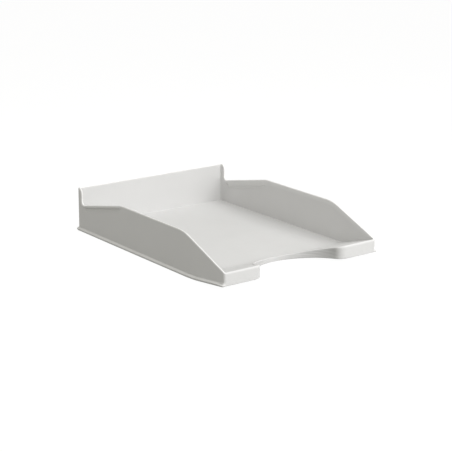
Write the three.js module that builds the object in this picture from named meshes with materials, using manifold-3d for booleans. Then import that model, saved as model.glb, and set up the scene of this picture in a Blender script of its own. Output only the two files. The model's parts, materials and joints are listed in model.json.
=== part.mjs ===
// A letter tray: an open desk tray for A4 and folio papers, low at the front and walled on the
// other three sides, with a finger recess in its front edge.
//
// The real tray is one moulding of satin light-grey plastic of even thickness. It is drawn here as
// the sections that it is made of: floor, ramp, lips, recess wall, side walls, rear posts, back wall
// and base flanges. The sections meet face to face, and the recess wall keeps a hair gap to the ramp.
//
// Millimetres. +X is the tray's right, +Y its back and +Z up. The origin is the middle of the
// rectangle that it stands on. Inside the file, y counts backwards from the front face instead.

import * as THREE from "three";
import { mergeVertices } from "three/addons/utils/BufferGeometryUtils.js";
import Module from "manifold-3d";

const wasm = await Module();
wasm.setup();

// Overall size, over the base flanges
const WIDTH = 255;
const DEPTH = 345;
const HEIGHT = 60.6;

// The moulding
const WALL = 2;
const HAIR_GAP = 0.3;

// Base: the floor's top and the flange's top are one level, and a channel below takes the next tray
const FLOOR_TOP = 4.8;
const FLANGE_REACH = 3;
const FRONT_RISE = 6.8;
const RISE_RUN = 64;
const RISE_BEND_RADIUS = 300;

// Front: lip, ramp and finger recess
const LIP_TOP = 24.4;
const RAMP_RUN = 63;
const RAMP_LAND = 8;
const RECESS_RADIUS = 64.5;
const RECESS_BACK_OFF = 2.5;
const RECESS_MOUTH_RADIUS = 13;
const RECESS_RIM = 1.2;

// Side walls: from the lip up to a level top, then down again towards the full-height rear posts
const SIDE_DROP = 2.2;
const FRONT_SHOULDER_RUN = 86;
const FRONT_SHOULDER_RADIUS = 65;
const REAR_SHOULDER_RUN = 111;
const REAR_SHOULDER_RADIUS = 45;
const REAR_DIP = 23.5;
const POST_LENGTH = 11;
const POST_RADIUS = 7.5;

// Finish and fineness
const PLASTIC_COLOUR = 0xdededb;
const PLASTIC_ROUGHNESS = 0.45;
const ARC_STEPS = 12;
const RECESS_STEPS = 40;
const OVERSHOOT = 10;

// Planes that the sections share
const FLANGE_FACE = WIDTH / 2;
const WALL_FACE = FLANGE_FACE - FLANGE_REACH;
const WALL_INSIDE = WALL_FACE - WALL;
const REAR_FACE = DEPTH - FLANGE_REACH;
const REAR_INSIDE = REAR_FACE - WALL;
const POST_FRONT = REAR_FACE - POST_LENGTH;
const UNDERSIDE = FLOOR_TOP - WALL;
const SEAM = RAMP_RUN + RAMP_LAND;
const SIDE_TOP = HEIGHT - SIDE_DROP;
const RAMP_SLOPE = (LIP_TOP - FLOOR_TOP) / (RAMP_RUN - WALL);

// The recess is an arc that stops short of the ramp's foot, with a rounded mouth at each side
const RECESS_CENTRE = RAMP_RUN - RECESS_BACK_OFF - RECESS_RADIUS;
const RECESS_MOUTH = Math.sqrt(
  (RECESS_RADIUS + RECESS_MOUTH_RADIUS) ** 2 - (RECESS_MOUTH_RADIUS - RECESS_CENTRE) ** 2,
);

const tray = new THREE.Group();
tray.position.y = -DEPTH / 2;

// Height of the tray's bottom edge: it lifts in a straight line towards the front
function bottomEdge(y) {
  return (FRONT_RISE * Math.max(0, RISE_RUN - y)) / RISE_RUN;
}

// Height of the ramp's top surface
function rampTop(y) {
  return FLOOR_TOP + RAMP_SLOPE * (RAMP_RUN - y);
}

// A closed outline through corners [u, v, radius]. A corner with a radius becomes a tangent arc.
function outline(corners) {
  const points = [];
  corners.forEach(([u, v, radius = 0], i) => {
    const corner = new THREE.Vector2(u, v);
    if (radius === 0) {
      points.push(corner);
      return;
    }
    const [before, after] = [corners.at(i - 1), corners[(i + 1) % corners.length]].map(
      ([nextU, nextV]) => new THREE.Vector2(nextU, nextV).sub(corner).normalize(),
    );
    const half = before.angleTo(after) / 2;
    const inward = before.clone().add(after).normalize();
    const centre = corner.clone().addScaledVector(inward, radius / Math.sin(half));
    const first = corner.clone().addScaledVector(before, radius / Math.tan(half)).sub(centre);
    const last = corner.clone().addScaledVector(after, radius / Math.tan(half)).sub(centre);
    const sweep = Math.atan2(first.cross(last), first.dot(last));
    for (let step = 0; step <= ARC_STEPS; step += 1) {
      const spoke = first.clone().rotateAround(new THREE.Vector2(), (sweep * step) / ARC_STEPS);
      points.push(centre.clone().add(spoke));
    }
  });
  return new THREE.Shape(points);
}

// Stretches an outline along one axis between two planes. Along x it is drawn in (y, z), along y in
// (z, x) and along z in (x, y).
function prism(shape, axis, from, to) {
  const geometry = new THREE.ExtrudeGeometry(shape, { depth: 1, bevelEnabled: false });
  const position = geometry.getAttribute("position");
  const along = "xyz".indexOf(axis);
  for (let i = 0; i < position.count; i += 1) {
    const place = [];
    place[along] = position.getZ(i) === 0 ? Math.min(from, to) : Math.max(from, to);
    place[(along + 1) % 3] = position.getX(i);
    place[(along + 2) % 3] = position.getY(i);
    position.setXYZ(i, ...place);
  }
  geometry.computeVertexNormals();
  return geometry;
}

function solid(geometry) {
  const bare = geometry.clone();
  bare.deleteAttribute("normal");
  bare.deleteAttribute("uv");
  const merged = mergeVertices(bare);
  const vertProperties = new Float32Array(merged.getAttribute("position").array);
  const triVerts = new Uint32Array(merged.getIndex().array);
  return new wasm.Manifold(new wasm.Mesh({ numProp: 3, vertProperties, triVerts }));
}

function geometryOf(body) {
  const mesh = body.getMesh();
  const geometry = new THREE.BufferGeometry();
  geometry.setAttribute("position", new THREE.BufferAttribute(mesh.vertProperties, 3));
  geometry.setIndex(new THREE.BufferAttribute(mesh.triVerts, 1));
  geometry.computeVertexNormals();
  return geometry;
}

function add(name, geometry) {
  const plastic = new THREE.MeshStandardMaterial({
    color: PLASTIC_COLOUR,
    roughness: PLASTIC_ROUGHNESS,
    metalness: 0,
  });
  const mesh = new THREE.Mesh(geometry, plastic);
  mesh.name = name;
  tray.add(mesh);
}

// A band that follows the bottom edge from one y to another, between two heights above that edge
function edgeBand(from, to, low, high) {
  return outline([
    [from, bottomEdge(from) + low],
    [RISE_RUN, low, RISE_BEND_RADIUS],
    [to, low],
    [to, high],
    [RISE_RUN, high, RISE_BEND_RADIUS],
    [from, bottomEdge(from) + high],
  ]);
}

// The plan line of the finger recess, moved into the plastic by an offset, from left to right
function recessLine(offset) {
  const lean = Math.atan2(RECESS_MOUTH_RADIUS - RECESS_CENTRE, RECESS_MOUTH);
  const arc = (x, y, radius, from, to, steps) =>
    Array.from({ length: steps + 1 }, (_, step) => {
      const angle = from + ((to - from) * step) / steps;
      return new THREE.Vector2(x + radius * Math.cos(angle), y + radius * Math.sin(angle));
    });
  const mouth = RECESS_MOUTH_RADIUS - offset;
  const right = arc(RECESS_MOUTH, RECESS_MOUTH_RADIUS, mouth, Math.PI + lean, 1.5 * Math.PI, ARC_STEPS);
  const left = right.map((point) => new THREE.Vector2(-point.x, point.y)).reverse();
  const hollow = RECESS_RADIUS + offset;
  const middle = arc(0, RECESS_CENTRE, hollow, Math.PI - lean, lean, RECESS_STEPS);
  return [...left, ...middle.slice(1, -1), ...right];
}

function floorPanel() {
  const section = outline([
    [SEAM, UNDERSIDE],
    [REAR_INSIDE, UNDERSIDE],
    [REAR_INSIDE, FLOOR_TOP],
    [SEAM, FLOOR_TOP],
  ]);
  add("floor_panel", prism(section, "x", -WALL_INSIDE, WALL_INSIDE));
}

// The ramp climbs from the floor to the lips, and is cut away around the finger recess
function frontRamp() {
  const section = outline([
    [WALL, rampTop(WALL) - WALL],
    [RAMP_RUN, UNDERSIDE],
    [SEAM, UNDERSIDE],
    [SEAM, FLOOR_TOP],
    [RAMP_RUN, FLOOR_TOP],
    [WALL, rampTop(WALL)],
  ]);
  const slab = solid(prism(section, "x", -WALL_INSIDE, WALL_INSIDE));
  const cutLine = recessLine(WALL + HAIR_GAP);
  const cutPlan = new THREE.Shape([
    ...cutLine,
    new THREE.Vector2(RECESS_MOUTH, -OVERSHOOT),
    new THREE.Vector2(-RECESS_MOUTH, -OVERSHOOT),
  ]);
  const cut = solid(prism(cutPlan, "z", -OVERSHOOT, HEIGHT));
  add("front_ramp", geometryOf(slab.subtract(cut)));
}

// The wall round the recess: from the bottom edge up to a rim that stands proud of the ramp
function fingerRecessWall() {
  const bandPlan = new THREE.Shape([...recessLine(0), ...recessLine(WALL).reverse()]);
  const band = solid(prism(bandPlan, "z", -OVERSHOOT, HEIGHT));
  const rimMeetsLip = WALL + RECESS_RIM / RAMP_SLOPE;
  const profile = outline([
    [-OVERSHOOT, bottomEdge(0)],
    [0, bottomEdge(0)],
    [RISE_RUN, 0],
    [SEAM, 0],
    [SEAM, FLOOR_TOP],
    [RAMP_RUN, FLOOR_TOP + RECESS_RIM],
    [rimMeetsLip, LIP_TOP],
    [-OVERSHOOT, LIP_TOP],
  ]);
  const reach = RECESS_MOUTH + OVERSHOOT;
  add("finger_recess_wall", geometryOf(band.intersect(solid(prism(profile, "x", -reach, reach)))));
}

// The front face beside the recess. It spreads at its foot to close the end of the base flange.
function frontLip(name, side) {
  const flare = bottomEdge(WALL) + FLOOR_TOP;
  const face = outline([
    [bottomEdge(0), side * RECESS_MOUTH],
    [bottomEdge(0), side * FLANGE_FACE],
    [flare, side * FLANGE_FACE],
    [flare, side * WALL_FACE],
    [LIP_TOP, side * WALL_FACE],
    [LIP_TOP, side * RECESS_MOUTH],
  ]);
  add(name, prism(face, "y", 0, WALL));
}

function sideWall(name, side) {
  const face = outline([
    [WALL, bottomEdge(WALL) + UNDERSIDE],
    [RISE_RUN, UNDERSIDE, RISE_BEND_RADIUS],
    [POST_FRONT, UNDERSIDE],
    [POST_FRONT, HEIGHT - REAR_DIP],
    [REAR_FACE - REAR_SHOULDER_RUN, SIDE_TOP, REAR_SHOULDER_RADIUS],
    [FRONT_SHOULDER_RUN, SIDE_TOP, FRONT_SHOULDER_RADIUS],
    [WALL, LIP_TOP],
  ]);
  add(name, prism(face, "x", side * WALL_INSIDE, side * WALL_FACE));
}

// The short full-height end of a side wall, beside the back wall
function rearPost(name, side) {
  const face = outline([
    [POST_FRONT, UNDERSIDE],
    [REAR_FACE, UNDERSIDE],
    [REAR_FACE, HEIGHT],
    [POST_FRONT, HEIGHT, POST_RADIUS],
  ]);
  add(name, prism(face, "x", side * WALL_INSIDE, side * WALL_FACE));
}

function backWall() {
  const section = outline([
    [REAR_INSIDE, UNDERSIDE],
    [REAR_FACE, UNDERSIDE],
    [REAR_FACE, HEIGHT],
    [REAR_INSIDE, HEIGHT],
  ]);
  add("back_wall", prism(section, "x", -WALL_INSIDE, WALL_INSIDE));
}

// The foot of a side wall steps out over a channel, and its skirt stands on the desk
function sideFlange(name, side) {
  const block = prism(edgeBand(WALL, REAR_FACE, 0, FLOOR_TOP), "x", side * WALL_FACE, side * FLANGE_FACE);
  const hollow = edgeBand(-OVERSHOOT, DEPTH + OVERSHOOT, -OVERSHOOT, UNDERSIDE);
  const channel = prism(hollow, "x", side * WALL_INSIDE, side * (FLANGE_FACE - WALL));
  add(name, geometryOf(solid(block).subtract(solid(channel))));
}

function rearFlange() {
  const section = (from, to, low, high) =>
    outline([
      [from, low],
      [to, low],
      [to, high],
      [from, high],
    ]);
  const block = prism(section(REAR_FACE, DEPTH, 0, FLOOR_TOP), "x", -FLANGE_FACE, FLANGE_FACE);
  const hollow = section(REAR_INSIDE, DEPTH - WALL, -OVERSHOOT, UNDERSIDE);
  const channel = prism(hollow, "x", WALL - FLANGE_FACE, FLANGE_FACE - WALL);
  add("rear_base_flange", geometryOf(solid(block).subtract(solid(channel))));
}

floorPanel();
frontRamp();
fingerRecessWall();
for (const [hand, side] of [["left", -1], ["right", 1]]) {
  frontLip(`${hand}_front_lip`, side);
  sideWall(`${hand}_side_wall`, side);
  rearPost(`${hand}_rear_post`, side);
  sideFlange(`${hand}_base_flange`, side);
}
backWall();
rearFlange();

export default tray;
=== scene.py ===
"""Letter tray: the moulded plastic skin, its finish and the studio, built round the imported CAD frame.

The tray is one moulding. Its rim (recess wall, lips, side walls, posts, back wall and base flange) is a
cross-section swept round the plan, and the floor and ramp fill the inside of that sweep. The sweep is then
divided into the CAD's sections, so each CAD node has one closed piece that stands for it.

Lengths are in millimetres until a mesh is made. x is the tray's right, z is up, and y counts backwards from
the front face. Only the left half is worked out: the right half mirrors it.
"""

import json
import math

import bmesh
import bpy
from mathutils import Matrix, Vector
from mathutils.bvhtree import BVHTree
from mathutils.geometry import delaunay_2d_cdt
from mathutils.interpolate import poly_3d_calc

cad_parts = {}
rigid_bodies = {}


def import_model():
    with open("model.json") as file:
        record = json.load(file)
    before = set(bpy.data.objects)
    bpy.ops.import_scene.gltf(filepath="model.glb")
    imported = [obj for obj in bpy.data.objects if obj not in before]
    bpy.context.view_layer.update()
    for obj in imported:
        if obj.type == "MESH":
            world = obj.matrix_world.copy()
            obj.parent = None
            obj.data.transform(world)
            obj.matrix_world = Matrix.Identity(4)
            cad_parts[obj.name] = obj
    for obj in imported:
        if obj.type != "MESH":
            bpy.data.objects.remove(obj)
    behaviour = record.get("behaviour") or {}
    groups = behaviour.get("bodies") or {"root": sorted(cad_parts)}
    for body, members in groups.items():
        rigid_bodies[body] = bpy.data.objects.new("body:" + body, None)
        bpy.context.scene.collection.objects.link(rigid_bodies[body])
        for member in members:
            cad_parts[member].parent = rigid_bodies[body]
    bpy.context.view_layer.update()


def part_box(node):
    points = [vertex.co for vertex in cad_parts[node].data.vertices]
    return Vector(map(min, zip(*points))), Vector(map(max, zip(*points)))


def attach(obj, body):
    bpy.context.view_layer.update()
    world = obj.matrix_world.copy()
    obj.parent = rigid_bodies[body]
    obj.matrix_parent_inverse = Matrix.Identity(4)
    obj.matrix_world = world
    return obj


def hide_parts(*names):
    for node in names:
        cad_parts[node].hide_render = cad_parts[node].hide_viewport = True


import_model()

MM = 0.001
QUARTER = math.pi / 2
LOW, HIGH = 0, 1
X, Y, Z = 0, 1, 2


def cad(node, end, axis):
    """One side of a CAD node's box, in millimetres."""
    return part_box(node)[end][axis] / MM


# ---- Sizes read from the CAD frame ----
FRONT = cad("left_front_lip", LOW, Y)
WALL_FACE = -cad("left_side_wall", LOW, X)
WALL = WALL_FACE + cad("left_side_wall", HIGH, X)
FLANGE_REACH = -cad("left_base_flange", LOW, X) - WALL_FACE
REAR_FACE = cad("back_wall", HIGH, Y) - FRONT
POST_FRONT = cad("left_rear_post", LOW, Y) - FRONT
SEAM = cad("floor_panel", LOW, Y) - FRONT
HEIGHT = cad("back_wall", HIGH, Z)
SIDE_TOP = cad("left_side_wall", HIGH, Z)
LIP_TOP = cad("left_front_lip", HIGH, Z)
FLOOR_TOP = cad("floor_panel", HIGH, Z)
FRONT_RISE = cad("left_front_lip", LOW, Z)
RECESS_BACK = cad("finger_recess_wall", HIGH, Y) - FRONT - WALL
RECESS_MOUTH = cad("finger_recess_wall", HIGH, X)

# ---- Sizes that the CAD's boxes don't give ----
RAMP_RUN = 63.0
RAMP_BEND = 6.0
RISE_RUN = 64.0
RISE_BEND = 16.0
RECESS_RADIUS = 64.5
MOUTH_RADIUS = 13.0
FRONT_SHOULDER_RUN = 86.0
FRONT_SHOULDER_RADIUS = 65.0
REAR_SHOULDER_RUN = 111.0
REAR_SHOULDER_RADIUS = 45.0
REAR_DIP = 23.5
POST_RADIUS = 7.5
NOTCH_RADIUS = 5.0

# ---- Rounding of the moulding ----
FRONT_CORNER = 3.5
REAR_CORNER = 3.2
REAR_INNER_CORNER = 3.0
TIGHTEST = 0.6
FLARE_CORNER = 2.6
SKIRT_CORNER = 0.01
EDGE_ROUND = 0.95
RIM_ROUND = 0.8
LIP_ROUND = 3.2
LIP_WIDTH = 3.4
RECESS_RIM = 1.3
LIP_RIM = 0.4
FLOOR_FILLET = 0.6
RIM_FILLET = 0.5
RIM_FILLET_WIDTH = 3.3
FLANGE_FILLET = 0.7
FLANGE_TOP = 4.2
FLANGE_SLOPE = 1.6
FLANGE_ROUND = 0.6
FLARE_START = 6.4
FLARE_FILLET = 2.3
FLARE_TOP = 2.3
FLARE_SLOPE = 0.2
FLARE_WEAR_AND_HIGHLIGHT = 0.9
FLARE_RUN = (3.0, 14.0)
RIM_FADE = (12.0, 46.0)
SKIRT_ROUND = 0.9
SKIRT_INNER_ROUND = 0.3
FLOOR_REACH = 6.0
SUPPORT = 0.35
ROUND_SHARE = 0.4
SUPPORT_SHARE = 0.08

# ---- Fine relief along the rear dip: a proud lip outside, and two ribs inside. The post is as proud ----
LIP_RELIEF = 0.6
LIP_RELIEF_DEPTH = 2.2
LIP_RELIEF_FADE = 0.2
GROOVE_DEPTH = 2.9
GROOVE_HALF_WIDTH = 0.8
GROOVE_RELIEF = 0.8
POST_RELIEF = 0.45
RIB_RELIEF = 0.55
RIB_DEPTHS = (6.8, 9.9)
RIB_HALF_WIDTH = 0.7
DEEPEST_ROW = 11.0
POST_ROW_SCALE = 0.35
LEAST_ROW_SCALE = 0.2
ROOM_SHARE = 0.8
POST_ROW_REACH = 5.0
RELIEF_FADE = 6.0
POST_RELIEF_START = 325.0
POST_FADE = 2.0

# ---- Mesh spacing ----
LIP_STEP = 10.0
CORNER_STEP = 0.4
RECESS_TURN = math.radians(1.6)
MOUTH_TURN = math.radians(5)
FILLET_STEPS = 4
CREST_STEPS = 6
LEDGE_STEPS = 5
SMALL_STEPS = 3
PATH_STEP = 4.0
PATH_TURN = math.radians(6)
FINEST_STEP = 0.12
FLOOR_CELL = 9.0
BEND_CELL = 1.5
MERGE = 0.002
FILL_TOLERANCE = 1e-4
ROUNDING_SLACK = 1e-6
SHARP = math.radians(35)
ON_SKIN = 0.02
SAME_FACING = 0.5
NUDGE = 0.01

# ---- Where the skin is cut into the CAD's sections ----
PIECE_SUFFIX = "_skin"
LIP_CUT = FRONT_CORNER + 2 * SUPPORT
MOUTH_CUT = RECESS_MOUTH + SUPPORT
CUT_TURN = math.radians(2.3)
STRIP = WALL + FLOOR_FILLET + 2 * SUPPORT
POST_CLEARANCE = 1.5
CORNER_CLEARANCE = 1.0
POST_CUT = POST_FRONT - NOTCH_RADIUS - POST_CLEARANCE
CORNER_CUT = REAR_FACE - REAR_CORNER - CORNER_CLEARANCE
BACK_CUT = WALL_FACE - REAR_CORNER - CORNER_CLEARANCE
BEYOND = 20.0
STRIP_EDGE = WALL_FACE - STRIP
REAR_STRIP_EDGE = REAR_FACE - STRIP
FAR_SIDE = WALL_FACE + BEYOND
FAR_REAR = REAR_FACE + BEYOND
TO_FRAME = Vector((0, FRONT, 0)) * MM

# ---- Finish: depths in millimetres, texture scales per metre, ranges of a noise's value ----
PLASTIC = (0.70, 0.696, 0.69)
# Edges are lightened partly as wear and partly as painted highlight, by the weights below.
EDGE_WEAR_AND_HIGHLIGHT = 1.38
FRONT_WEAR_AND_HIGHLIGHT = 0.05
WEAR_AND_HIGHLIGHT_BESIDE = 0.3
LEDGE_WEAR_AND_HIGHLIGHT = 0.8
WEAR_POLISH = 0.1
# The next tint darkens faces with painted shade, on the skirt's foot and on the recess wall.
PAINTED_SHADE_TINT = 0.55
RECESS_PAINTED_SHADE = 0.9
ROUGHNESS = 0.5
SHEEN = 0.26
GRAIN_SCALE = 2600
GRAIN_DEPTH = 0.012
SCUFF_DEPTH = 0.01
SINK_DEPTH = 0.05
MOTTLE_SCALE = 22
PATCH_SCALE = 70
COARSE = 0.6
MOTTLE_TINT = 0.025
STREAKS = (420, 14, 60)
STREAK_TURN = 0.06
STREAK_RANGE = (0.66, 0.74)
CROSS_STREAKS = (18, 380, 60)
CROSS_TURN = 0.5
CROSS_RANGE = (0.69, 0.76)
LAYERS = (20, 20, 700)
LAYER_RANGE = (0.35, 0.65)
LAYER_SHARE = (0.3, 0.9)
LEVEL_RANGE = (0.75, 0.98)
SCUFF_PATCHES = (0.4, 0.65)
SCUFF_TINT = 0.9
SCUFF_SHARE = 0.35
SCUFF_ROUGHNESS = 0.08
WEAR_AND_HIGHLIGHT_PATCHES = (0.35, 0.6)
WEAR_AND_HIGHLIGHT_SHARE = (0.75, 1)
ROUGH_PATCHES = (0.3, 0.7)
PATCH_ROUGHNESS = 0.05

# ---- Studio: metres, watts and degrees ----
PAPER_SCALE = 3.0
PAPER_MOTTLE = 0.02
PAPER_ROUGHNESS = 0.9
FLOOR_HALF = 30
FLOOR_TONE = 0.12
FLOOR_GLOW = 0.93
BOUNCE = 0.95
SKY = 0.465
SKY_TINT = (1.0, 0.992, 0.93, 1)
LIGHT_TINT = (0.98, 0.985, 1.0)
TOP_LIGHT = {"power": 4.5, "size": 0.8, "place": Vector((0.555, -0.10, 1.10)), "yaw": -90, "pitch": 62}
OVERHEAD_LIGHT = {"power": 3.3, "size": 0.3, "place": Vector((-0.13, -0.35, 1.15)), "yaw": 0, "pitch": 90}
FRONT_LIGHT = {"power": 9.4, "size": 0.6, "place": Vector((0.234, -1.292, 0.40)), "yaw": -12, "pitch": 17}
CAMERA_PLACE = Vector((-1.1041, -1.4767, 0.5517))
CAMERA_YAW = 36.97
CAMERA_PITCH = 15.99
CAMERA_ROLL = 0.33
CAMERA_LENS = 112.36
CAMERA_SENSOR = 36

RECESS_CENTRE = RECESS_BACK - RECESS_RADIUS
RECESS_LEAN = math.atan2(MOUTH_RADIUS - RECESS_CENTRE, RECESS_MOUTH)
RAMP_SLOPE = (LIP_TOP - LIP_RIM - FLOOR_TOP) / (RAMP_RUN - WALL)
RISE_SLOPE = FRONT_RISE / RISE_RUN
SIDE_SLOPE = (SIDE_TOP - LIP_TOP) / FRONT_SHOULDER_RUN
LIP_START = FRONT_CORNER * (1 - QUARTER)
LIP_END = LIP_START - (WALL_FACE - FRONT_CORNER - RECESS_MOUTH)
CORNER_START = REAR_FACE - REAR_CORNER
CORNER_END = CORNER_START + REAR_CORNER * QUARTER
BACK_MIDDLE = CORNER_END + WALL_FACE - REAR_CORNER


def smooth(t):
    """Eases from 0 to 1 as t goes from 0 to 1."""
    t = min(1.0, max(0.0, t))
    return t * t * (3 - 2 * t)


def mix(a, b, t):
    """Goes from a to b as t goes from 0 to 1."""
    return a + (b - a) * t


def soft_hinge(u, half_bend):
    """0 below the hinge and u above it, with a soft bend of that half width."""
    if abs(u) >= half_bend:
        return max(0.0, u)
    return (u + half_bend) ** 2 / (4 * half_bend)


def floor_height(y):
    """Top surface of the floor and the ramp."""
    return FLOOR_TOP + RAMP_SLOPE * soft_hinge(RAMP_RUN - y, RAMP_BEND)


def bottom_height(y):
    """The tray's bottom edge, which lifts towards the front."""
    return RISE_SLOPE * soft_hinge(RISE_RUN - y, RISE_BEND)


# ---- Plan lines. n is how far a line lies inside the outer face, and s runs along that face: it is y along
# the side wall, goes on round the rear corner and along the back wall, and is below 0 along the lip. ----
def rear_radius(n):
    """Radius of the rear corner's plan line at n."""
    if n >= WALL:
        return max(REAR_INNER_CORNER + WALL - n, TIGHTEST)
    return mix(REAR_CORNER, REAR_INNER_CORNER, n / WALL) if n > 0 else REAR_CORNER - n


def plan(s, n):
    """Plan point of the left half, from the recess mouth to the middle of the back wall."""
    if s < CORNER_START / 2:
        radius = max(FRONT_CORNER - n, TIGHTEST)
        centre = Vector((radius + n - WALL_FACE, radius + n))
        if s >= FRONT_CORNER:
            return Vector((n - WALL_FACE, max(s, centre.y)))
        if s <= LIP_START:
            return Vector((max(FRONT_CORNER - WALL_FACE + LIP_START - s, centre.x), n))
        turn = (FRONT_CORNER - s) / FRONT_CORNER
        return centre - radius * Vector((math.cos(turn), math.sin(turn)))
    radius = rear_radius(n)
    centre = Vector((radius + n - WALL_FACE, REAR_FACE - n - radius))
    if s <= POST_FRONT:
        return Vector((n - WALL_FACE, s))
    if s <= CORNER_START:
        along = (s - POST_FRONT) / (CORNER_START - POST_FRONT)
        return Vector((n - WALL_FACE, mix(POST_FRONT, centre.y, along)))
    if s >= CORNER_END:
        return Vector((max(REAR_CORNER - WALL_FACE + s - CORNER_END, centre.x), REAR_FACE - n))
    turn = (s - CORNER_START) / REAR_CORNER
    return centre + radius * Vector((-math.cos(turn), math.sin(turn)))


def recess_plan(angle, n):
    """Plan point on the recess arc, by the angle at its centre."""
    return Vector((0, RECESS_CENTRE)) + (RECESS_RADIUS + n) * Vector((math.cos(angle), math.sin(angle)))


def mouth_plan(angle, n):
    """Plan point on the rounded mouth of the recess, by the angle at its centre."""
    centre = Vector((-RECESS_MOUTH, MOUTH_RADIUS))
    return centre + (MOUTH_RADIUS - n) * Vector((math.cos(angle), math.sin(angle)))


def along_bend(start, corner, end, radius, t):
    """The point a share t of the way along two straight legs with a rounded corner between them."""
    first, last = (corner - start).normalized(), (end - corner).normalized()
    leg, arc = (corner - start).length - radius, radius * QUARTER
    rest = (end - corner).length - radius
    way = t * (leg + arc + rest)
    if way <= leg:
        return start + first * way
    if way >= leg + arc:
        return corner + last * (radius + way - leg - arc)
    turn = (way - leg) / radius
    return corner + radius * (first * (math.sin(turn) - 1) + last * (1 - math.cos(turn)))


def flare(n, radius, share):
    """Plan point a share of the way round the flange's front corner, n inside its outer face."""
    edge = -WALL_FACE - FLANGE_REACH + n
    start, corner = Vector((edge, FRONT_CORNER)), Vector((edge, n))
    return along_bend(start, corner, Vector((FRONT_CORNER - WALL_FACE, n)), radius, share)


def foot(s):
    """Plan points of the base flange's outer face and of its skirt's inner face."""
    if s >= FRONT_CORNER:
        return plan(s, -FLANGE_REACH), plan(s, WALL - FLANGE_REACH)
    share = (FRONT_CORNER - s) / (FRONT_CORNER - LIP_START)
    if share >= 1:
        return plan(s, 0), plan(s, WALL)
    return flare(0, FLARE_CORNER, share), flare(WALL, SKIRT_CORNER, share)


class Station:
    """One cross-section of the rim: where its plan lines run, and how its crest is shaped."""

    def __init__(self, rail, outer_foot, inner_foot):
        self.rail = rail
        self.outer_foot = outer_foot
        self.inner_foot = inner_foot
        self.crest = None
        self.crest_width = WALL
        self.outer_round = EDGE_ROUND
        self.inner_height = 0.0
        self.fillet = FLOOR_FILLET
        self.fillet_width = FLOOR_FILLET
        self.row_scale = 1.0
        # Weights of edge lightening (wear with painted highlight) and of painted shade.
        self.wear_and_highlight = 1.0
        self.painted_shade = 0.0
        self.relief = 0.0
        self.post = 0.0
        self.bottom = bottom_height(rail(0).y)

    def floor_point(self, n, lift=0.0):
        """The point at n on the floor's or ramp's top, or lifted above it."""
        at = self.rail(n)
        return Vector((at.x, at.y, floor_height(at.y) + lift))


def front_station(rail, lift, outer_foot=None, inner_foot=None):
    """A station whose crest follows the ramp, a given height above it."""
    station = Station(rail, outer_foot or rail(0), inner_foot or rail(WALL))
    station.inner_height = lift
    station.crest = lambda n, depth: station.floor_point(n, lift - depth)
    station.row_scale = 0.0
    station.wear_and_highlight = FRONT_WEAR_AND_HIGHLIGHT
    station.fillet_width = RIM_FILLET_WIDTH
    return station


def wall_station(s_top, s_low, z_top, inward):
    """A station of a tall wall. inward is the unit vector in the wall's plane, (s, z), into the plastic."""
    station = Station(lambda n: plan(s_low, n), *foot(s_low))

    def crest(n, depth):
        at = plan(s_top + inward[0] * depth, n)
        return Vector((at.x, at.y, z_top + inward[1] * depth))

    station.crest = crest
    station.inner_height = z_top - floor_height(station.rail(WALL).y)
    return station


def arc_steps(steps):
    """Angles from 0 to a quarter turn."""
    return [QUARTER * step / steps for step in range(steps + 1)]


def ridge(depth):
    """How far the inside ribs stand out at a depth below the crest."""
    nearest = min(abs(depth - middle) for middle in RIB_DEPTHS)
    return RIB_RELIEF * smooth(1 - nearest / RIB_HALF_WIDTH)


def inside_depths():
    """Depths of the inner face's rows, from the deepest up."""
    around = (-1.0, -0.5, 0.0, 0.5, 1.0)
    rows = [middle + step * RIB_HALF_WIDTH for middle in RIB_DEPTHS for step in around]
    return sorted(rows + [DEEPEST_ROW], reverse=True)


OUTSIDE_DEPTHS = (1.0, 1.9, 2.1, 2.3, 2.5, 2.7, 2.9, 3.1, 3.3, 3.5, 3.7, DEEPEST_ROW)


def outer_relief(station, depth):
    """How far the outer face stands out at a depth below the crest."""
    rise = smooth(depth / EDGE_ROUND)
    fall = smooth((LIP_RELIEF_DEPTH - depth) / LIP_RELIEF_FADE)
    groove = smooth(1 - abs(depth - GROOVE_DEPTH) / GROOVE_HALF_WIDTH)
    along_dip = (LIP_RELIEF * rise * fall - GROOVE_RELIEF * groove) * station.relief
    return mix(along_dip, POST_RELIEF * rise, station.post)


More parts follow.
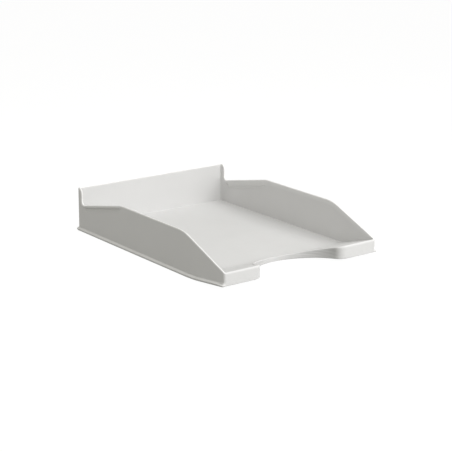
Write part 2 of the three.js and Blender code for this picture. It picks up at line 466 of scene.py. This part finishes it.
def crest_rows(station):
    """The wall above the floor, from its fillet over the crest to the outer face, with edge weights."""
    rows = []
    width, height = station.crest_width, station.inner_height
    fillet = min(station.fillet, ROUND_SHARE * height)
    inner_round = min(EDGE_ROUND, ROUND_SHARE * height)
    support = min(SUPPORT, SUPPORT_SHARE * height)
    rows.append((station.floor_point(FLOOR_REACH), 0.0))
    fillet_width = min(station.fillet_width, FLOOR_REACH - width - 2 * SUPPORT)
    rows.append((station.floor_point(width + fillet_width + SUPPORT), 0.0))
    for angle in arc_steps(FILLET_STEPS):
        n = width + fillet_width * (1 - math.sin(angle))
        rows.append((station.floor_point(n, fillet * (1 - math.cos(angle))), 0.0))
    rows.append((station.floor_point(width, fillet + support), 0.0))
    shallowest = inner_round + support
    for depth in inside_depths():
        n = width + ridge(depth) * station.relief
        rows.append((station.crest(n, shallowest + depth * station.row_scale), 0.0))
    # The crest's roundings are lightened, partly as wear and partly as painted highlight.
    rows.append((station.crest(width, shallowest), WEAR_AND_HIGHLIGHT_BESIDE * station.wear_and_highlight))
    for angle in arc_steps(FILLET_STEPS):
        n = width - inner_round * (1 - math.cos(angle))
        rows.append((station.crest(n, inner_round * (1 - math.sin(angle))), station.wear_and_highlight))
    outer_round = station.outer_round
    for angle in arc_steps(CREST_STEPS):
        n = outer_round * (1 - math.sin(angle))
        rows.append((station.crest(n, outer_round * (1 - math.cos(angle))), station.wear_and_highlight))
    rows.append((station.crest(0, outer_round + SUPPORT), WEAR_AND_HIGHLIGHT_BESIDE * station.wear_and_highlight))
    deep_scale = max(station.row_scale, LEAST_ROW_SCALE)
    # The outer face below the crest gets painted shade where the station has it, which is on the recess
    # wall.
    for depth in OUTSIDE_DEPTHS:
        n = -outer_relief(station, depth)
        rows.append((station.crest(n, outer_round + SUPPORT + depth * deep_scale), -station.painted_shade))
    return rows


def foot_rows(station, highest):
    """The base flange and its skirt, or the lip's plain foot, from the outer face to the underside."""
    rows = []
    wall_at, outer, inner = station.rail(0), station.outer_foot, station.inner_foot
    flare_start, flare_end = FLARE_RUN
    plain = smooth((outer.y - flare_start) / (flare_end - flare_start))
    start = mix(FLARE_START, FLANGE_TOP + FLANGE_FILLET, plain)
    top = mix(FLARE_TOP, FLANGE_TOP, plain)
    slope = mix(FLARE_SLOPE, FLANGE_SLOPE, plain)
    fillet = mix(FLARE_FILLET, FLANGE_FILLET, plain)
    reach = (outer - wall_at).length / FLANGE_REACH

    def ledge(n, up, edge=0.0):
        at = wall_at.lerp(outer, n / FLANGE_REACH)
        z = station.bottom + up - slope * n / FLANGE_REACH
        weight = edge * reach * mix(FLARE_WEAR_AND_HIGHLIGHT, 1.0, plain) - station.painted_shade
        rows.append((Vector((at.x, at.y, min(z, highest))), weight))

    def skirt(n, up, edge=0.0):
        at = outer.lerp(inner, n / WALL)
        rows.append((Vector((at.x, at.y, min(station.bottom + up, highest))), edge * reach - station.painted_shade))

    ledge(0, start + SUPPORT)
    # The flange's roundings are lightened, partly as wear and partly as painted highlight.
    for angle in arc_steps(LEDGE_STEPS):
        up = top + (start - top) * (1 - math.sin(angle))
        ledge(fillet * (1 - math.cos(angle)), up, LEDGE_WEAR_AND_HIGHLIGHT * angle / QUARTER)
    for angle in arc_steps(FILLET_STEPS):
        n = FLANGE_REACH - FLANGE_ROUND * (1 - math.sin(angle))
        ledge(n, top - FLANGE_ROUND * (1 - math.cos(angle)), 1.0 - angle / QUARTER)
    # The skirt's foot rounding gets weight -1: painted shade along the bottom.
    for angle in arc_steps(FILLET_STEPS):
        skirt(SKIRT_ROUND * (1 - math.cos(angle)), SKIRT_ROUND * (1 - math.sin(angle)), -1.0)
    for angle in arc_steps(SMALL_STEPS):
        n = WALL - SKIRT_INNER_ROUND * (1 - math.sin(angle))
        skirt(n, SKIRT_INNER_ROUND * (1 - math.cos(angle)), -1.0)
    skirt(WALL, SKIRT_INNER_ROUND + SUPPORT)
    skirt(WALL, ledge_underside(station) - station.bottom)
    return rows


def ledge_underside(station):
    """Height of the flange's underside, which is never above the underside of the floor."""
    return min(station.bottom + FLANGE_TOP - WALL, floor_height(station.rail(WALL).y) - WALL)


def underside_rows(station):
    """From the wall's foot up to the underside of the floor or ramp."""
    at = station.rail(WALL)
    low = ledge_underside(station)
    fillet = min(RIM_FILLET, (floor_height(at.y) - WALL - low) / 2)
    rows = [(Vector((at.x, at.y, low)), 0.0)]
    for angle in arc_steps(SMALL_STEPS):
        n = WALL + fillet * (1 - math.cos(angle))
        rows.append((station.floor_point(n, -WALL - fillet * (1 - math.sin(angle))), 0.0))
    rows.append((station.floor_point(WALL + fillet + SUPPORT, -WALL), 0.0))
    rows.append((station.floor_point(FLOOR_REACH, -WALL), 0.0))
    return rows


def spread(start, end, longest):
    """Evenly spaced values from start up to, and without, end."""
    count = max(1, math.ceil(abs(end - start) / longest - ROUNDING_SLACK))
    return [mix(start, end, step / count) for step in range(count)]


def recess_stations():
    """From the middle of the recess to the end of its rounded mouth."""
    rails = []
    for angle in spread(QUARTER, math.pi - RECESS_LEAN, RECESS_TURN):
        rails.append(lambda n, angle=angle: recess_plan(angle, n))
    for angle in spread(-RECESS_LEAN, -QUARTER, MOUTH_TURN):
        rails.append(lambda n, angle=angle: mouth_plan(angle, n))
    stations = []
    for rail in rails:
        towards_lip = 1 - smooth(rail(0).y / MOUTH_RADIUS)
        rim_start, rim_end = RIM_FADE
        rim = smooth((rail(0).y - rim_start) / (rim_end - rim_start))
        station = front_station(rail, mix(LIP_RIM, RECESS_RIM, rim))
        station.fillet = RIM_FILLET
        # Painted shade on the recess wall: darker away from its middle, and fading out towards the mouth.
        station.painted_shade = RECESS_PAINTED_SHADE * abs(rail(0).x) / RECESS_RADIUS * (1 - towards_lip)
        station.outer_round = mix(RIM_ROUND, LIP_ROUND, towards_lip)
        station.crest_width = mix(WALL, LIP_WIDTH, towards_lip)
        stations.append(station)
    return stations


def lip_stations():
    """Along the lip and round the front corner, up to the start of the side wall."""
    stations = []
    corner_lift = LIP_TOP + SIDE_SLOPE * FRONT_CORNER - floor_height(FRONT_CORNER)
    along_lip = spread(LIP_END, LIP_START, LIP_STEP) + [LIP_START - SUPPORT]
    for s in along_lip + spread(LIP_START, FRONT_CORNER, CORNER_STEP):
        turned = max(0.0, (s - LIP_START) / (FRONT_CORNER - LIP_START))
        towards_side = smooth(turned)
        lift = mix(LIP_RIM, corner_lift, turned ** 2)
        station = front_station(lambda n, s=s: plan(s, n), lift, *foot(s))
        station.outer_round = mix(LIP_ROUND, EDGE_ROUND, towards_side)
        station.crest_width = mix(LIP_WIDTH, WALL, towards_side)
        station.wear_and_highlight = mix(FRONT_WEAR_AND_HIGHLIGHT, 1.0, towards_side)
        station.fillet_width = mix(RIM_FILLET_WIDTH, FLOOR_FILLET, towards_side)
        stations.append(station)
    return stations


def inward_of(way):
    """The unit vector that points into the plastic from a line of the crest that runs along way."""
    return Vector((way.y, -way.x))


def straight(start, end, longest):
    """Points and inward vectors along a straight line, without its start."""
    way = end - start
    steps = max(1, math.ceil(way.length / longest))
    return [(start + way * step / steps, inward_of(way.normalized())) for step in range(1, steps + 1)]


def rounded_path(corners, longest):
    """Points and inward vectors along a line through corners (s, z, radius)."""
    places = [Vector(corner[:2]) for corner in corners]
    path = [(places[0], inward_of((places[1] - places[0]).normalized()))]
    for before, here, after, (_, _, radius) in zip(places, places[1:], places[2:], corners[1:]):
        way_in, way_out = (here - before).normalized(), (after - here).normalized()
        turn = math.atan2(way_in.cross(way_out), way_in.dot(way_out))
        side = -1 if turn > 0 else 1
        start = here - way_in * radius * math.tan(abs(turn) / 2)
        centre = start + side * radius * inward_of(way_in)
        path += straight(path[-1][0], start, longest)
        steps = max(4, math.ceil(abs(turn) / PATH_TURN))
        for step in range(1, steps + 1):
            angle = turn * step / steps
            way = Vector((
                way_in.x * math.cos(angle) - way_in.y * math.sin(angle),
                way_in.x * math.sin(angle) + way_in.y * math.cos(angle),
            ))
            path.append((centre - side * radius * inward_of(way), inward_of(way)))
    return path + straight(path[-1][0], places[-1], longest)


def wall_stations():
    """The side wall, its rear post, the rear corner and the left half of the back wall."""
    notch_top = HEIGHT - REAR_DIP
    dip_start = REAR_FACE - REAR_SHOULDER_RUN
    path = rounded_path(
        [
            (FRONT_CORNER, LIP_TOP + SIDE_SLOPE * FRONT_CORNER, 0),
            (FRONT_SHOULDER_RUN, SIDE_TOP, FRONT_SHOULDER_RADIUS),
            (dip_start, SIDE_TOP, REAR_SHOULDER_RADIUS),
            (POST_FRONT, notch_top, NOTCH_RADIUS),
            (POST_FRONT, HEIGHT, POST_RADIUS),
            (CORNER_END, HEIGHT, 0),
        ],
        PATH_STEP,
    )
    down = Vector((0, -1))
    path += [(Vector((CORNER_END + SUPPORT, HEIGHT)), down), (Vector((BACK_MIDDLE, HEIGHT)), down)]
    stations = []
    post_zone = POST_FRONT - 2 * RELIEF_FADE
    s_low = 0.0
    for point, inward in path:
        near_post = smooth((point.x - post_zone) / RELIEF_FADE)
        below = point.x + near_post * inward.x * POST_ROW_REACH
        s_low = max(below, s_low + FINEST_STEP) if inward.x > 0 else below
        station = wall_station(point.x, s_low, point.y, inward)
        room = (station.inner_height - FLOOR_FILLET - 2 * EDGE_ROUND) / DEEPEST_ROW
        station.row_scale = max(0.0, min(mix(1.0, POST_ROW_SCALE, near_post), ROOM_SHARE * room))
        in_dip = smooth((point.x - dip_start) / RELIEF_FADE)
        station.relief = in_dip * smooth((POST_FRONT - point.x) / RELIEF_FADE)
        past_corner = smooth((CORNER_START - point.x) / POST_FADE)
        station.post = smooth((point.x - POST_RELIEF_START) / POST_FADE) * past_corner
        stations.append(station)
    return stations


def section(station):
    """One cross-section: its points from the floor's top round to its underside, with edge weights."""
    rows = crest_rows(station)
    rows += foot_rows(station, rows[-1][0].z)
    rows += underside_rows(station)
    return rows


# ---- The skin, as one closed mesh ----
def floor_grid():
    """Plan points inside the tray, close together across the ramp's bend."""
    half = WALL_FACE - FLOOR_REACH
    bend = (RAMP_RUN - RAMP_BEND, RAMP_RUN + RAMP_BEND)
    lengthwise = spread(FLOOR_REACH, bend[0], FLOOR_CELL) + spread(*bend, BEND_CELL)
    lengthwise += spread(bend[1], REAR_FACE - FLOOR_REACH, FLOOR_CELL)[1:]
    crosswise = spread(-half, half, FLOOR_CELL)[1:]
    clearance = RECESS_RADIUS + FLOOR_REACH + BEND_CELL
    points = []
    for y in lengthwise[1:]:
        for x in crosswise:
            clear_of_recess = Vector((x, y - RECESS_CENTRE)).length > clearance
            in_mouth = y < MOUTH_RADIUS and abs(x) < RECESS_MOUTH
            if clear_of_recess and not in_mouth:
                points.append(Vector((x, y)))
    return points


def fill(mesh, loop, lift, edge_layer):
    """Fills a closed loop of the mesh with a sheet that follows the floor's height."""
    plan_points = [Vector((v.co.x, v.co.y)) / MM for v in loop]
    count = len(plan_points)
    edges = [(i, (i + 1) % count) for i in range(count)]
    points, _, faces, *_ = delaunay_2d_cdt(plan_points + floor_grid(), edges, [], 1, FILL_TOLERANCE)
    corners = []
    for i, at in enumerate(points):
        corner = mesh.verts.new(Vector((at.x, at.y, floor_height(at.y) + lift)) * MM)
        corner[edge_layer] = 0.0
        corners.append(corner)
    for face in faces:
        mesh.faces.new([corners[i] for i in face])


def build_skin():
    """The whole tray as one closed surface. Edge weights are above 0 on edges lightened as wear and painted
    highlight, and below 0 where shade is painted.
    """
    half = [section(s) for s in recess_stations() + lip_stations() + wall_stations()]
    flip = Vector((-1, 1, 1))
    other_half = [[(at * flip, edge) for at, edge in rows] for rows in reversed(half[1:-1])]
    ring = half + other_half
    mesh = bmesh.new()
    edge_layer = mesh.verts.layers.float.new("edge")
    grid = []
    for rows in ring:
        grid.append([mesh.verts.new(at * MM) for at, _ in rows])
        for corner, (_, edge) in zip(grid[-1], rows):
            corner[edge_layer] = edge
    for here, there in zip(grid, grid[1:] + grid[:1]):
        for i in range(len(here) - 1):
            mesh.faces.new((here[i], there[i], there[i + 1], here[i + 1]))
    fill(mesh, [rows[0] for rows in grid], 0.0, edge_layer)
    fill(mesh, [rows[-1] for rows in grid], -WALL, edge_layer)
    bmesh.ops.remove_doubles(mesh, verts=mesh.verts, dist=MERGE * MM)
    bmesh.ops.dissolve_degenerate(mesh, edges=mesh.edges, dist=MERGE * MM)
    bmesh.ops.recalc_face_normals(mesh, faces=mesh.faces)
    return mesh


# ---- The CAD's sections, cut out of the skin with prisms. Each cut runs where the skin is straight ----
def to_object(mesh, name, moved=Vector()):
    """Turns a bmesh into a linked object, and frees the bmesh."""
    bmesh.ops.translate(mesh, verts=mesh.verts, vec=moved)
    data = bpy.data.meshes.new(name)
    mesh.to_mesh(data)
    mesh.free()
    made = bpy.data.objects.new(name, data)
    bpy.context.scene.collection.objects.link(made)
    return made


def flat_height(height):
    return lambda y: height


def prism(outline, top=None):
    """A closed prism on a plan outline, anticlockwise. top is a height as a function of y."""
    top = top or flat_height(HEIGHT + BEYOND)
    mesh = bmesh.new()
    bases = [mesh.verts.new(Vector((x, y, -BEYOND)) * MM) for x, y in outline]
    tops = [mesh.verts.new(Vector((x, y, top(y))) * MM) for x, y in outline]
    for i, base in enumerate(bases):
        after = (i + 1) % len(outline)
        mesh.faces.new((base, bases[after], tops[after], tops[i]))
    mesh.faces.new(list(reversed(bases)))
    mesh.faces.new(tops)
    return to_object(mesh, "cutter", TO_FRAME)


def strip(x_low, x_high, y_values, top):
    """A closed block over y_values whose top follows a height as a function of y."""
    mesh = bmesh.new()
    rings = []
    for y in y_values:
        corners = ((x_low, -BEYOND), (x_high, -BEYOND), (x_high, top(y)), (x_low, top(y)))
        rings.append([mesh.verts.new(Vector((x, y, z)) * MM) for x, z in corners])
    for here, there in zip(rings, rings[1:]):
        for i in range(4):
            after = (i + 1) % 4
            mesh.faces.new((here[i], here[after], there[after], there[i]))
    mesh.faces.new(rings[0])
    mesh.faces.new(list(reversed(rings[-1])))
    bmesh.ops.recalc_face_normals(mesh, faces=mesh.faces)
    return to_object(mesh, "cutter", TO_FRAME)


def mirrored(outline):
    """The outline's other half, in the order that keeps it anticlockwise."""
    return [(-x, y) for x, y in reversed(outline)]


def flange_cut(y):
    """Height at which the base flange is parted from the wall above it."""
    return bottom_height(y) + FLOOR_TOP + FLANGE_FILLET + SUPPORT / 2


def recess_outline():
    """The recess and the strip of the ramp round it. Its corners keep clear of the skin's stations."""
    back = spread(QUARTER + CUT_TURN / 2, math.pi - RECESS_LEAN, CUT_TURN)
    mouth = spread(-RECESS_LEAN - CUT_TURN / 2, -QUARTER, 3 * CUT_TURN)
    left = [tuple(recess_plan(angle, LIP_CUT)) for angle in back]
    left += [tuple(mouth_plan(angle, LIP_CUT)) for angle in mouth] + [(-MOUTH_CUT, LIP_CUT)]
    front = [(-MOUTH_CUT, -BEYOND), (MOUTH_CUT, -BEYOND)]
    return front + mirrored(left) + left


def rectangle(x_low, x_high, y_low, y_high):
    """A rectangle's outline, anticlockwise."""
    return [(x_low, y_low), (x_high, y_low), (x_high, y_high), (x_low, y_high)]


def side_cutters(turn):
    """The prisms of the left side's sections, or of the right side's where turn mirrors an outline."""
    post = [(-FAR_SIDE, POST_CUT), (-STRIP_EDGE, POST_CUT), (-STRIP_EDGE, REAR_STRIP_EDGE)]
    post += [(-BACK_CUT, REAR_STRIP_EDGE), (-BACK_CUT, FAR_REAR), (-FAR_SIDE, FAR_REAR)]
    return {
        "front_lip": prism(turn(rectangle(-FAR_SIDE, -MOUTH_CUT, -BEYOND, LIP_CUT))),
        "side_wall": prism(turn(rectangle(-FAR_SIDE, -STRIP_EDGE, LIP_CUT, POST_CUT))),
        "rear_post": prism(turn(post)),
    }


def cut_piece(name, skin, kept, removed=()):
    """The part of the skin inside one prism and outside the others, as a closed piece."""
    piece = skin.copy()
    piece.name = name + PIECE_SUFFIX
    bpy.context.scene.collection.objects.link(piece)
    for operation, cutters in (("INTERSECT", [kept]), ("DIFFERENCE", removed)):
        for cutter in cutters:
            modifier = piece.modifiers.new(operation, "BOOLEAN")
            modifier.operation = operation
            modifier.solver = "MANIFOLD"
            modifier.object = cutter
    evaluated = piece.evaluated_get(bpy.context.evaluated_depsgraph_get())
    piece.data = bpy.data.meshes.new_from_object(evaluated)
    piece.data.name = piece.name
    piece.modifiers.clear()
    return piece


def cut_sections(skin):
    """One closed piece for each CAD node."""
    middle, rear_middle = WALL_FACE - WALL / 2, REAR_FACE - WALL / 2
    lengthwise = [LIP_CUT] + spread(RISE_RUN - RISE_BEND, RISE_RUN + RISE_BEND, PATH_STEP)
    lengthwise += [RISE_RUN + RISE_BEND, CORNER_CUT]
    rear_flange_outline = [(-FAR_SIDE, CORNER_CUT), (-middle, CORNER_CUT), (-middle, rear_middle)]
    rear_flange_outline += [(middle, rear_middle), (middle, CORNER_CUT), (FAR_SIDE, CORNER_CUT)]
    rear_flange_outline += [(FAR_SIDE, FAR_REAR), (-FAR_SIDE, FAR_REAR)]
    rear_flange = prism(rear_flange_outline, top=flange_cut)
    recess = prism(recess_outline())
    pieces = {}
    sides = (("left", list, (-FAR_SIDE, -middle)), ("right", mirrored, (middle, FAR_SIDE)))
    for side, turn, ends in sides:
        flange = strip(*ends, lengthwise, flange_cut)
        pieces[side + "_base_flange"] = cut_piece(side + "_base_flange", skin, flange)
        for section_name, cutter in side_cutters(turn).items():
            removed = [] if section_name == "front_lip" else [flange, rear_flange]
            pieces[f"{side}_{section_name}"] = cut_piece(f"{side}_{section_name}", skin, cutter, removed)
    pieces["rear_base_flange"] = cut_piece("rear_base_flange", skin, rear_flange)
    pieces["finger_recess_wall"] = cut_piece("finger_recess_wall", skin, recess)
    back = prism(rectangle(-BACK_CUT, BACK_CUT, REAR_STRIP_EDGE, FAR_REAR))
    pieces["back_wall"] = cut_piece("back_wall", skin, back, [rear_flange])
    ramp = prism(rectangle(-STRIP_EDGE, STRIP_EDGE, LIP_CUT, SEAM))
    pieces["front_ramp"] = cut_piece("front_ramp", skin, ramp, [recess])
    floor = prism(rectangle(-STRIP_EDGE, STRIP_EDGE, SEAM, REAR_STRIP_EDGE))
    pieces["floor_panel"] = cut_piece("floor_panel", skin, floor)
    return pieces


class SkinShading:
    """The shading normals and edge weights of the whole skin, so that its pieces meet without a seam."""

    def __init__(self, skin):
        data = skin.data
        data.calc_loop_triangles()
        self.places = [vertex.co.copy() for vertex in data.vertices]
        self.triangles = [tuple(triangle.vertices) for triangle in data.loop_triangles]
        self.normals = [[Vector(n) for n in triangle.split_normals] for triangle in data.loop_triangles]
        self.edges = [value.value for value in data.attributes["edge"].data]
        self.tree = BVHTree.FromPolygons(self.places, self.triangles)

    def near(self, point):
        """The skin's facing, normal and edge weight nearest to a point, and how far off it is."""
        _, facing, index, distance = self.tree.find_nearest(point)
        triangle = self.triangles[index]
        weights = poly_3d_calc([self.places[i] for i in triangle], point)
        normal = sum((n * w for n, w in zip(self.normals[index], weights)), Vector())
        edge = sum(self.edges[i] * w for i, w in zip(triangle, weights))
        return facing, normal.normalized(), edge, distance

    def copy_to(self, piece):
        """Gives a piece the skin's shading, and flat shading where it was cut."""
        data = piece.data
        normals = [Vector()] * len(data.loops)
        edges = [0.0] * len(data.vertices)
        for face in data.polygons:
            face.use_smooth = True
            facing, _, _, distance = self.near(face.center)
            is_cut = distance > ON_SKIN * MM or facing.dot(face.normal) < SAME_FACING
            for loop in face.loop_indices:
                if is_cut:
                    normals[loop] = face.normal.copy()
                    continue
                index = data.loops[loop].vertex_index
                nudged = data.vertices[index].co.lerp(face.center, NUDGE)
                _, normals[loop], edges[index], _ = self.near(nudged)
        attribute = data.attributes.get("edge") or data.attributes.new("edge", "FLOAT", "POINT")
        attribute.data.foreach_set("value", edges)
        data.normals_split_custom_set(normals)


# ---- The finish ----
class Nodes:
    """Adds shader nodes to a material and joins them up."""

    def __init__(self, name):
        self.material = bpy.data.materials.new(name)
        self.material.use_nodes = True
        self.tree = self.material.node_tree
        self.shader = self.tree.nodes["Principled BSDF"]

    def set(self, node, name, value):
        socket = node.inputs[name]
        if isinstance(value, bpy.types.NodeSocket):
            self.tree.links.new(value, socket)
        else:
            socket.default_value = value

    def add(self, kind, inputs, **settings):
        node = self.tree.nodes.new(kind)
        for name, value in settings.items():
            setattr(node, name, value)
        for name, value in inputs.items():
            self.set(node, name, value)
        return node

    def noise(self, vector, scale, detail=2.0, roughness=0.5):
        inputs = {"Vector": vector, "Scale": scale, "Detail": detail, "Roughness": roughness}
        return self.add("ShaderNodeTexNoise", inputs).outputs["Fac"]

    def remap(self, value, seen, given=(0, 1)):
        """Maps the range seen onto the range given, and holds its ends beyond it."""
        inputs = {"Value": value, "From Min": seen[0], "From Max": seen[1]}
        inputs.update({"To Min": given[0], "To Max": given[1]})
        return self.add("ShaderNodeMapRange", inputs).outputs["Result"]

    def math(self, operation, a, b):
        return self.add("ShaderNodeMath", {0: a, 1: b}, operation=operation).outputs[0]

    def times(self, a, b):
        return self.math("MULTIPLY", a, b)

    def blend(self, share, a, b):
        node = self.add("ShaderNodeMix", {"Factor": share}, data_type="RGBA")
        self.set(node, 6, a)
        self.set(node, 7, b)
        return node.outputs[2]

    def stretched(self, vector, scale, turn):
        inputs = {"Vector": vector, "Scale": scale, "Rotation": (0, 0, turn)}
        return self.add("ShaderNodeMapping", inputs).outputs["Vector"]


def shade(colour, factor):
    """The colour made lighter or darker, with full alpha."""
    return (*(channel * factor for channel in colour), 1)


def scuff_marks(nodes, place, up, patches):
    """Fine lines where paper slides, in patches and on level faces only."""
    streaks = nodes.noise(nodes.stretched(place, STREAKS, STREAK_TURN), 1.0, 3, COARSE)
    cross_streaks = nodes.noise(nodes.stretched(place, CROSS_STREAKS, CROSS_TURN), 1.0, 2, COARSE)
    cross_lines = nodes.remap(cross_streaks, CROSS_RANGE)
    lines = nodes.math("MAXIMUM", nodes.remap(streaks, STREAK_RANGE), cross_lines)
    scuffs = nodes.times(nodes.remap(up, LEVEL_RANGE), lines)
    return nodes.times(scuffs, nodes.remap(patches, SCUFF_PATCHES))


def wear_and_highlight_share(nodes, edge, patches):
    """How much a face is lightened as wear and painted highlight: its edge weight where that is above 0,
    and less in some patches.
    """
    exposed = nodes.math("MAXIMUM", edge, 0.0)
    return nodes.times(exposed, nodes.remap(patches, WEAR_AND_HIGHLIGHT_PATCHES, WEAR_AND_HIGHLIGHT_SHARE))


def painted_shade_share(nodes, edge, place):
    """How much painted shade a face gets, in thin level layers: its edge weight where that is below 0."""
    layers = nodes.noise(nodes.stretched(place, LAYERS, 0), 1.0, 3, COARSE)
    shade_weight = nodes.math("MAXIMUM", nodes.times(edge, -1.0), 0.0)
    return nodes.times(shade_weight, nodes.remap(layers, LAYER_RANGE, LAYER_SHARE))


def grey_plastic():
    """Satin plastic: grain, mottle, edges lightened as wear and painted highlight, painted shade on the
    skirt's foot and the recess wall, and scuffs on level faces.
    """
    nodes = Nodes("grey_plastic")
    place = nodes.add("ShaderNodeTexCoord", {}).outputs["Object"]
    facing = nodes.add("ShaderNodeNewGeometry", {}).outputs["Normal"]
    up = nodes.add("ShaderNodeSeparateXYZ", {"Vector": facing}).outputs["Z"]
    edge = nodes.add("ShaderNodeAttribute", {}, attribute_name="edge").outputs["Fac"]
    mottle = nodes.noise(place, MOTTLE_SCALE, 3)
    patches = nodes.noise(place, PATCH_SCALE, 4, COARSE)
    grain = nodes.noise(place, GRAIN_SCALE, 3, COARSE)
    scuffs = scuff_marks(nodes, place, up, patches)
    wear_and_highlight_mask = wear_and_highlight_share(nodes, edge, patches)
    painted_shade = painted_shade_share(nodes, edge, place)

    colour = nodes.blend(mottle, shade(PLASTIC, 1 - MOTTLE_TINT), shade(PLASTIC, 1 + MOTTLE_TINT))
    colour = nodes.blend(nodes.times(scuffs, SCUFF_SHARE), colour, shade(PLASTIC, SCUFF_TINT))
    # Lightens edges, partly as wear and partly as painted highlight.
    colour = nodes.blend(wear_and_highlight_mask, colour, shade(PLASTIC, EDGE_WEAR_AND_HIGHLIGHT))
    # Darkens with painted shade on the skirt's foot and the recess wall.
    colour = nodes.blend(painted_shade, colour, shade(PLASTIC, PAINTED_SHADE_TINT))
    roughness_range = (ROUGHNESS - PATCH_ROUGHNESS, ROUGHNESS + PATCH_ROUGHNESS)
    rough = nodes.remap(patches, ROUGH_PATCHES, roughness_range)
    rough = nodes.math("ADD", rough, nodes.times(scuffs, SCUFF_ROUGHNESS))
    rough = nodes.math("SUBTRACT", rough, nodes.times(wear_and_highlight_mask, WEAR_POLISH))

    relief = nodes.times(grain, GRAIN_DEPTH * MM)
    relief = nodes.math("ADD", relief, nodes.times(scuffs, -SCUFF_DEPTH * MM))
    relief = nodes.math("ADD", relief, nodes.times(mottle, SINK_DEPTH * MM))
    bump = nodes.add("ShaderNodeBump", {"Height": relief, "Strength": 1.0, "Distance": 1.0})
    nodes.set(nodes.shader, "Base Color", colour)
    nodes.set(nodes.shader, "Roughness", rough)
    nodes.set(nodes.shader, "Normal", bump.outputs["Normal"])
    nodes.set(nodes.shader, "Specular IOR Level", SHEEN)
    return nodes.material


# ---- The studio ----
def pale_paper(name, tone, glow):
    """Matt paper of one grey tone, which may glow."""
    nodes = Nodes(name)
    place = nodes.add("ShaderNodeTexCoord", {}).outputs["Object"]
    grey = (tone,) * 3
    mottle = nodes.noise(place, PAPER_SCALE)
    colour = nodes.blend(mottle, shade(grey, 1 - PAPER_MOTTLE), shade(grey, 1 + PAPER_MOTTLE))
    nodes.set(nodes.shader, "Base Color", colour)
    nodes.set(nodes.shader, "Roughness", PAPER_ROUGHNESS)
    nodes.set(nodes.shader, "Specular IOR Level", 0.0)
    nodes.set(nodes.shader, "Emission Color", (1, 1, 1, 1))
    nodes.set(nodes.shader, "Emission Strength", glow)
    return nodes.material


def add_floor(name, tone, glow):
    """A large staged square at z = 0."""
    mesh = bmesh.new()
    corners = ((-1, -1), (1, -1), (1, 1), (-1, 1))
    mesh.faces.new([mesh.verts.new((x * FLOOR_HALF, y * FLOOR_HALF, 0)) for x, y in corners])
    made = to_object(mesh, name)
    made.data.materials.append(pale_paper(name, tone, glow))
    return made


def build_floor():
    """The glowing floor that is seen, and one in the same place that is only there to bounce light."""
    seen = add_floor("studio_floor", FLOOR_TONE, FLOOR_GLOW)
    seen.visible_diffuse = False
    bounce = add_floor("bounce_floor", BOUNCE, 0.0)
    bounce.visible_camera = False
    bounce.visible_glossy = False
    bounce.visible_shadow = False


def aim(thing, place, yaw, pitch, roll=0.0):
    """Puts a camera or a light at a place. yaw turns from +y to +x, and pitch looks down."""
    yaw, pitch, roll = (math.radians(a) for a in (yaw, pitch, roll))
    forward = Vector((math.sin(yaw) * math.cos(pitch), math.cos(yaw) * math.cos(pitch), -math.sin(pitch)))
    right = Vector((math.cos(yaw), -math.sin(yaw), 0))
    up = right.cross(forward)
    across = right * math.cos(roll) + up * math.sin(roll)
    upward = up * math.cos(roll) - right * math.sin(roll)
    turned = Matrix((across, upward, -forward)).transposed().to_4x4()
    thing.matrix_world = Matrix.Translation(place) @ turned


def add_soft_box(name, power, size, place, yaw, pitch):
    """A square soft box that isn't seen itself. yaw and pitch are the way its light goes."""
    light = bpy.data.lights.new(name, "AREA")
    light.size = size
    light.energy = power
    light.color = LIGHT_TINT
    made = bpy.data.objects.new(name, light)
    made.visible_camera = False
    bpy.context.scene.collection.objects.link(made)
    aim(made, place, yaw, pitch)


def build_studio():
    """World, floors, lights and camera."""
    scene = bpy.context.scene
    scene.view_settings.view_transform = "Standard"
    scene.world = bpy.data.worlds.new("studio")
    scene.world.use_nodes = True
    sky = scene.world.node_tree.nodes["Background"]
    sky.inputs["Color"].default_value = SKY_TINT
    sky.inputs["Strength"].default_value = SKY
    build_floor()
    add_soft_box("top_light", **TOP_LIGHT)
    add_soft_box("overhead_light", **OVERHEAD_LIGHT)
    add_soft_box("front_light", **FRONT_LIGHT)
    camera = bpy.data.cameras.new("camera")
    camera.lens = CAMERA_LENS
    camera.sensor_width = CAMERA_SENSOR
    made = bpy.data.objects.new("camera", camera)
    scene.collection.objects.link(made)
    aim(made, CAMERA_PLACE, CAMERA_YAW, CAMERA_PITCH, CAMERA_ROLL)
    scene.camera = made


# ---- Put together ----
def build_tray():
    """The skin as an object in the frame, smooth but for its sharp edges."""
    mesh = build_skin()
    bmesh.ops.triangulate(mesh, faces=mesh.faces)
    for edge in mesh.edges:
        edge.smooth = edge.calc_face_angle(0) < SHARP
    for face in mesh.faces:
        face.smooth = True
    return to_object(mesh, "skin", TO_FRAME)


def main():
    skin = build_tray()
    shading = SkinShading(skin)
    finish = grey_plastic()
    pieces = cut_sections(skin)
    for node, piece in pieces.items():
        shading.copy_to(piece)
        piece.data.materials.clear()
        piece.data.materials.append(finish)
        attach(piece, "root")
        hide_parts(node)
    for scratch in [o for o in bpy.data.objects if o.name == "skin" or o.name.startswith("cutter")]:
        bpy.data.objects.remove(scratch)
    build_studio()


main()
